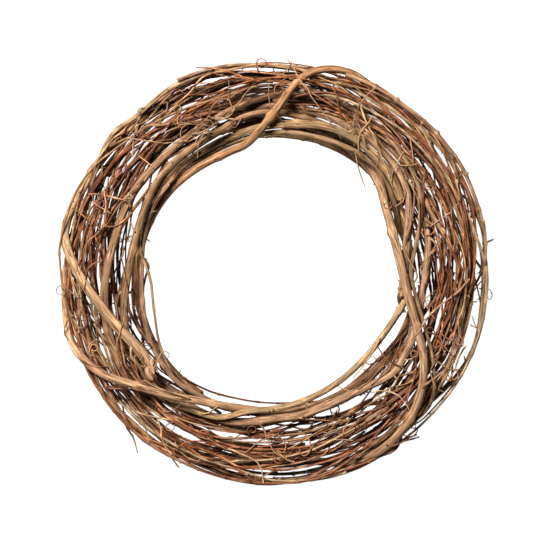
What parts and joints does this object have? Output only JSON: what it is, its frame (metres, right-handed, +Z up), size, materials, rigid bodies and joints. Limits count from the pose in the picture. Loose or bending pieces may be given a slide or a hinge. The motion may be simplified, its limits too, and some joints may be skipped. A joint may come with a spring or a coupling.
{
  "type": "grapevine wreath",
  "caption": "Bare ring of wound grapevine canes and thin side vines with curled tendrils, open in the middle, lying face up.",
  "frame": {"origin": "on the surface that the wreath lies on, under the middle of its outline", "axes": "+Z up out of the face along the ring's axis, +Y towards the top of the wreath as it hangs, +X to the right"},
  "size_m": [0.4607, 0.457, 0.0697],
  "materials": {
    "tan_bark": "dry fibrous bark, tan",
    "pale_bark": "dry stripped bark, pale greenish tan",
    "red_bark": "dry smooth bark, reddish brown"
  },
  "bodies": {
    "root": {"wrap_cane_top": "tan_bark", "wrap_cane_left": "pale_bark", "wrap_cane_lower": "tan_bark", "wrap_cane_right": "tan_bark", "pale_cane_inner": "pale_bark", "knotty_cane_right": "tan_bark", "long_cane_right": "tan_bark", "thick_cane_top_left": "tan_bark", "thick_cane_left": "tan_bark", "broken_cane_top_right": "pale_bark", "inner_cane_top": "pale_bark", "inner_cane_left": "tan_bark", "diagonal_cane_right": "tan_bark", "forked_cane_right": "pale_bark", "outer_cane_right": "pale_bark", "outer_cane_top_left": "pale_bark", "outer_cane_bottom": "tan_bark", "loop_twig_left": "pale_bark", "loose_end_lower_left": "tan_bark", "side_vine_01": "red_bark", "side_vine_02": "red_bark", "side_vine_03": "red_bark", "side_vine_04": "tan_bark", "side_vine_05": "red_bark", "side_vine_06": "pale_bark", "side_vine_07": "red_bark", "side_vine_08": "red_bark", "side_vine_09": "red_bark", "side_vine_10": "tan_bark", "side_vine_11": "red_bark", "side_vine_12": "pale_bark", "side_vine_13": "red_bark", "side_vine_14": "red_bark", "side_vine_15": "red_bark", "side_vine_16": "tan_bark", "side_vine_17": "red_bark", "side_vine_18": "pale_bark", "side_vine_19": "red_bark", "side_vine_20": "red_bark", "side_vine_21": "red_bark", "side_vine_22": "tan_bark", "side_vine_23": "red_bark", "side_vine_24": "pale_bark", "side_vine_25": "red_bark", "side_vine_26": "red_bark", "side_vine_27": "red_bark", "side_vine_28": "tan_bark", "side_vine_29": "red_bark", "side_vine_30": "pale_bark", "side_vine_31": "red_bark", "side_vine_32": "red_bark", "side_vine_33": "red_bark", "side_vine_34": "tan_bark", "side_vine_35": "red_bark", "side_vine_36": "pale_bark"}
  },
  "joints": []
}
